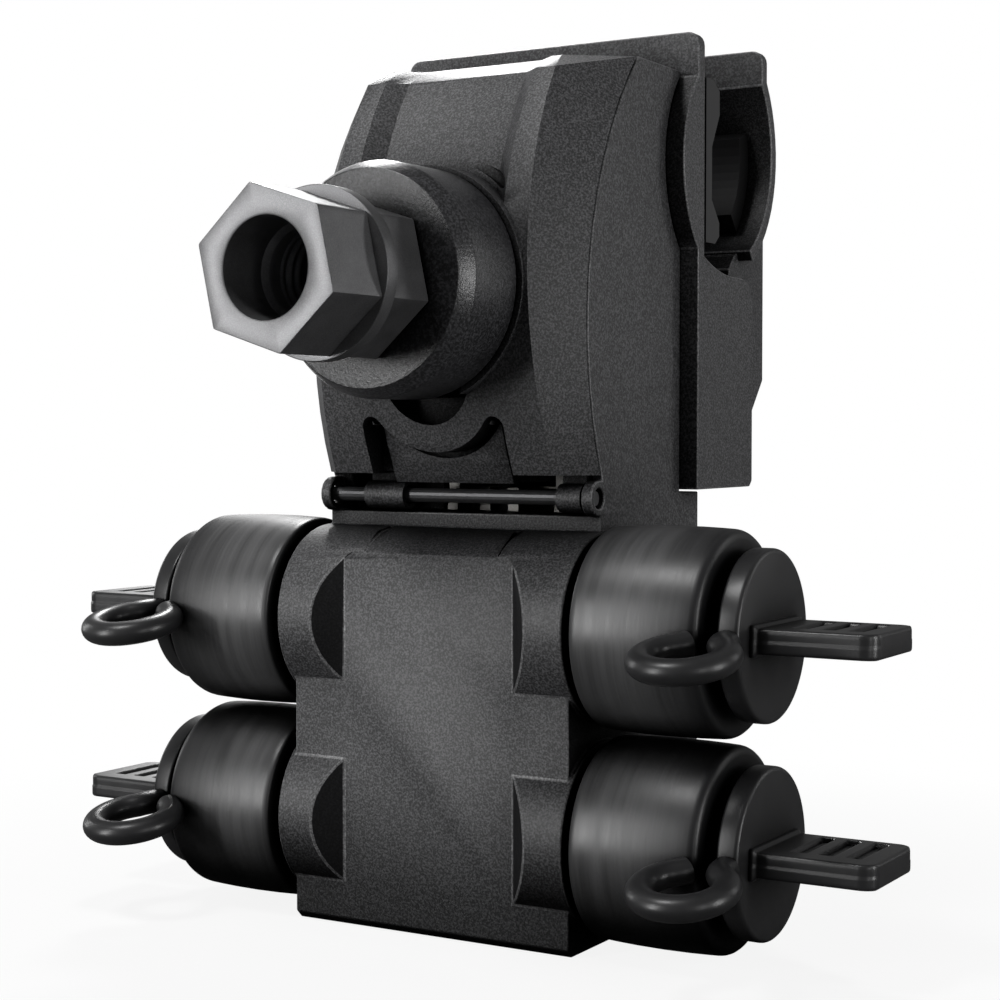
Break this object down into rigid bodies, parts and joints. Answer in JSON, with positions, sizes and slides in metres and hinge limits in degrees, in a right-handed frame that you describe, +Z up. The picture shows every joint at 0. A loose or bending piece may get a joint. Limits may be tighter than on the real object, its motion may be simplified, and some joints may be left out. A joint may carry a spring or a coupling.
{
  "type": "insulation piercing connector",
  "caption": "Insulation piercing connector: a clamp for a main conductor with a shear nut, over a block of sealed tap ports with tethered rubber plugs.",
  "frame": {"origin": "in the flat underside of the tap block, on the middle plane and straight under the port axes", "axes": "+X along the main conductor and the ports, -Y towards the shear nut, +Z up from the underside"},
  "size_m": [0.089, 0.0694, 0.0895],
  "materials": {
    "housing_plastic": "matte glass-filled plastic with a fine grain",
    "boot_rubber": "satin black rubber",
    "seal_rubber": "soft matte black rubber",
    "nut_metal": "dark satin coated metal",
    "zinc_steel": "zinc-plated steel",
    "tinned_copper": "tin-plated copper alloy"
  },
  "bodies": {
    "housing": {"tap_block": "housing_plastic", "clamp_cover": "housing_plastic", "hinge_pin": "zinc_steel", "thrust_collar": "housing_plastic", "front_saddle": "housing_plastic", "front_seal": "seal_rubber", "contact_left": "tinned_copper", "contact_right": "tinned_copper", "port_boot_upper_left": "boot_rubber", "port_boot_upper_right": "boot_rubber", "port_boot_lower_left": "boot_rubber", "port_boot_lower_right": "boot_rubber", "plug_tether_upper_left": "boot_rubber", "plug_tether_upper_right": "boot_rubber", "plug_tether_lower_left": "boot_rubber", "plug_tether_lower_right": "boot_rubber"},
    "jaw": {"rear_jaw": "housing_plastic", "rear_seal": "seal_rubber", "clamp_bolt": "zinc_steel"},
    "nut": {"shear_nut": "nut_metal"},
    "plug_upper_left": {"port_plug_upper_left": "boot_rubber"},
    "plug_upper_right": {"port_plug_upper_right": "boot_rubber"},
    "plug_lower_left": {"port_plug_lower_left": "boot_rubber"},
    "plug_lower_right": {"port_plug_lower_right": "boot_rubber"}
  },
  "joints": [
    {"name": "nut_turn", "type": "hinge", "parent": "housing", "child": "nut", "pos_m": [0, -0.0245, 0.0626], "axis": [0, 1, 0], "range_deg": [0, 2160]},
    {"name": "jaw_close", "type": "slide", "parent": "housing", "child": "jaw", "axis": [0, -1, 0], "range_m": [0, 0.0075]},
    {"name": "plug_pull_upper_left", "type": "slide", "parent": "housing", "child": "plug_upper_left", "axis": [-1, 0, 0], "range_m": [0, 0.008]},
    {"name": "plug_pull_upper_right", "type": "slide", "parent": "housing", "child": "plug_upper_right", "axis": [1, 0, 0], "range_m": [0, 0.008]},
    {"name": "plug_pull_lower_left", "type": "slide", "parent": "housing", "child": "plug_lower_left", "axis": [-1, 0, 0], "range_m": [0, 0.008]},
    {"name": "plug_pull_lower_right", "type": "slide", "parent": "housing", "child": "plug_lower_right", "axis": [1, 0, 0], "range_m": [0, 0.008]}
  ],
  "couplings": [
    {"joint": "nut_turn", "follows": "jaw_close", "rad_per_m": 5026.5}
  ]
}
